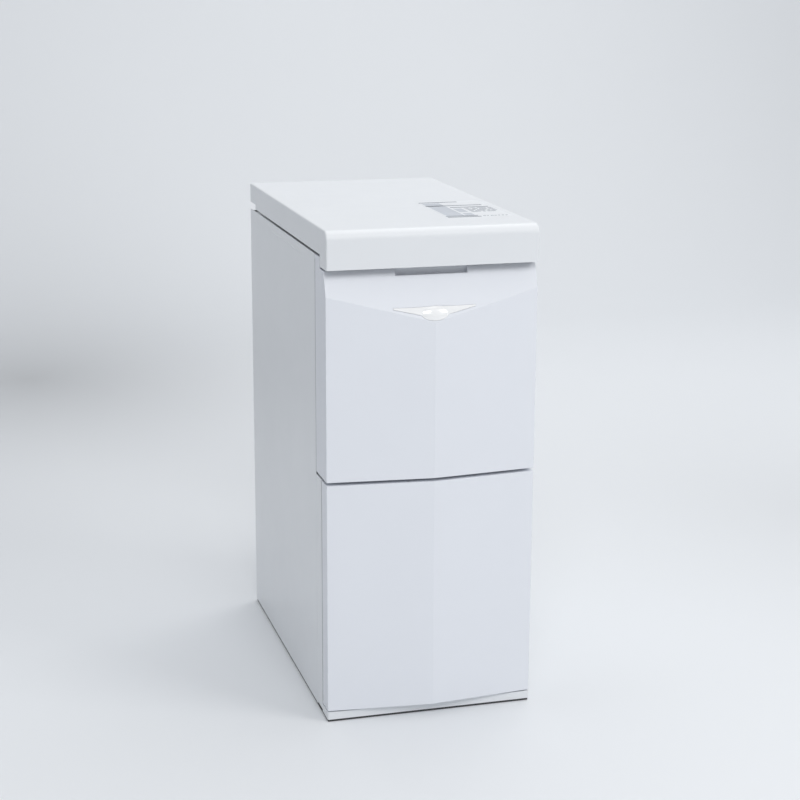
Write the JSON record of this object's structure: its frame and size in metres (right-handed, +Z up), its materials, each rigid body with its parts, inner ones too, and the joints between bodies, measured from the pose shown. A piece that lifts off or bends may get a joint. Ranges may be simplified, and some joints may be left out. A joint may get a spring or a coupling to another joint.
{
  "type": "trash compactor",
  "caption": "Free-standing white trash compactor: rear-hinged lid over a control deck, creased front panels, slide-out waste drawer and a screw-driven ram inside.",
  "frame": {"origin": "on the floor, under the middle of the bounding box", "axes": "+Z up, the front faces -Y, +X to the right seen from the front"},
  "size_m": [0.381, 0.667, 0.889],
  "materials": {
    "white_enamel": "satin",
    "white_plastic": "satin",
    "black_enamel": "satin",
    "galvanised": "satin",
    "machined_steel": "polished",
    "cast_metal": "matte",
    "bright_trim": "polished",
    "grey_plastic": "matte",
    "dark_plastic": "matte",
    "bin_plastic": "matte",
    "red_plastic": "gloss",
    "green_plastic": "gloss",
    "seal_rubber": "matte",
    "label_paper": "satin",
    "charcoal": "matte"
  },
  "bodies": {
    "cabinet": {"badge": "bright_trim", "base_plate": "white_enamel", "chamber_rear_wall": "galvanised", "control_console": "grey_plastic", "drive_chain": "machined_steel", "fascia": "white_plastic", "filter_cartridge": "charcoal", "filter_cover": "grey_plastic", "front_header": "galvanised", "front_post_left": "white_enamel", "front_post_right": "white_enamel", "gearbox": "cast_metal", "hinge_brackets": "galvanised", "hinge_pins": "machined_steel", "latch_housing": "dark_plastic", "levelling_feet": "dark_plastic", "lid_sensor": "grey_plastic", "motor": "black_enamel", "plinth": "white_enamel", "power_inlet": "dark_plastic", "rear_header": "galvanised", "rear_panel": "galvanised", "rear_post_left": "galvanised", "rear_post_right": "galvanised", "rear_screws": "galvanised", "runner_outer_left": "galvanised", "runner_outer_right": "galvanised", "screw_bearings": "cast_metal", "screw_rail_left": "galvanised", "screw_rail_right": "galvanised", "side_panel_left": "white_enamel", "side_panel_right": "white_enamel", "top_deck": "white_enamel"},
    "lid": {"lid_shell": "white_enamel", "lid_liner": "white_plastic", "lid_seal": "seal_rubber", "lid_label": "label_paper", "lid_hinge_leaves": "galvanised"},
    "drawer": {"drawer_front": "white_plastic", "drawer_inner_panel": "galvanised", "drawer_floor": "galvanised", "drawer_side_left": "galvanised", "drawer_side_right": "galvanised", "waste_bin": "bin_plastic", "bag_clips": "machined_steel"},
    "middle_left": {"runner_middle_left": "galvanised"},
    "middle_right": {"runner_middle_right": "galvanised"},
    "ram": {"ram_platen": "black_enamel", "ram_side_plates": "black_enamel", "ram_crosshead": "black_enamel", "power_nuts": "machined_steel"},
    "screw_left": {"power_screw_left": "machined_steel"},
    "screw_right": {"power_screw_right": "machined_steel"},
    "drive": {"output_sprocket": "machined_steel"},
    "start": {"start_button": "green_plastic"},
    "stop": {"stop_button": "red_plastic"},
    "key": {"key_switch": "machined_steel"},
    "latch": {"latch_plunger": "grey_plastic"}
  },
  "joints": [
    {"name": "lid_hinge", "type": "hinge", "parent": "cabinet", "child": "lid", "pos_m": [0, 0.3165, 0.862], "axis": [-1, 0, 0], "range_deg": [0, 95]},
    {"name": "drawer_slide", "type": "slide", "parent": "cabinet", "child": "drawer", "axis": [0, -1, 0], "range_m": [0, 0.4]},
    {"name": "runner_left_slide", "type": "slide", "parent": "cabinet", "child": "middle_left", "axis": [0, -1, 0], "range_m": [0, 0.2]},
    {"name": "runner_right_slide", "type": "slide", "parent": "cabinet", "child": "middle_right", "axis": [0, -1, 0], "range_m": [0, 0.2]},
    {"name": "ram_slide", "type": "slide", "parent": "cabinet", "child": "ram", "axis": [0, 0, 1], "range_m": [-0.26, 0]},
    {"name": "screw_left_turn", "type": "hinge", "parent": "cabinet", "child": "screw_left", "pos_m": [-0.168, -0.0875, 0.4], "axis": [0, 0, 1], "continuous": true},
    {"name": "screw_right_turn", "type": "hinge", "parent": "cabinet", "child": "screw_right", "pos_m": [0.168, -0.0875, 0.4], "axis": [0, 0, 1], "continuous": true},
    {"name": "drive_turn", "type": "hinge", "parent": "cabinet", "child": "drive", "pos_m": [0, 0.1845, 0.04], "axis": [0, 0, 1], "continuous": true},
    {"name": "start_press", "type": "slide", "parent": "cabinet", "child": "start", "axis": [0, 0, -1], "range_m": [0, 0.003], "stiffness_N_per_m": 300, "springref_m": -0.002},
    {"name": "stop_press", "type": "slide", "parent": "cabinet", "child": "stop", "axis": [0, 0, -1], "range_m": [0, 0.003], "stiffness_N_per_m": 300, "springref_m": -0.002},
    {"name": "key_turn", "type": "hinge", "parent": "cabinet", "child": "key", "pos_m": [0.042, -0.1705, 0.84], "axis": [0, 0, -1], "range_deg": [0, 60]},
    {"name": "latch_slide", "type": "slide", "parent": "cabinet", "child": "latch", "axis": [0, -1, 0], "range_m": [-0.004, 0], "stiffness_N_per_m": 400, "springref_m": 0.002}
  ],
  "couplings": [
    {"joint": "runner_left_slide", "follows": "drawer_slide", "ratio": 0.5},
    {"joint": "runner_right_slide", "follows": "drawer_slide", "ratio": 0.5},
    {"joint": "screw_left_turn", "follows": "ram_slide", "rad_per_m": 314.16},
    {"joint": "screw_right_turn", "follows": "ram_slide", "rad_per_m": 314.16},
    {"joint": "drive_turn", "follows": "ram_slide", "rad_per_m": 314.16}
  ]
}
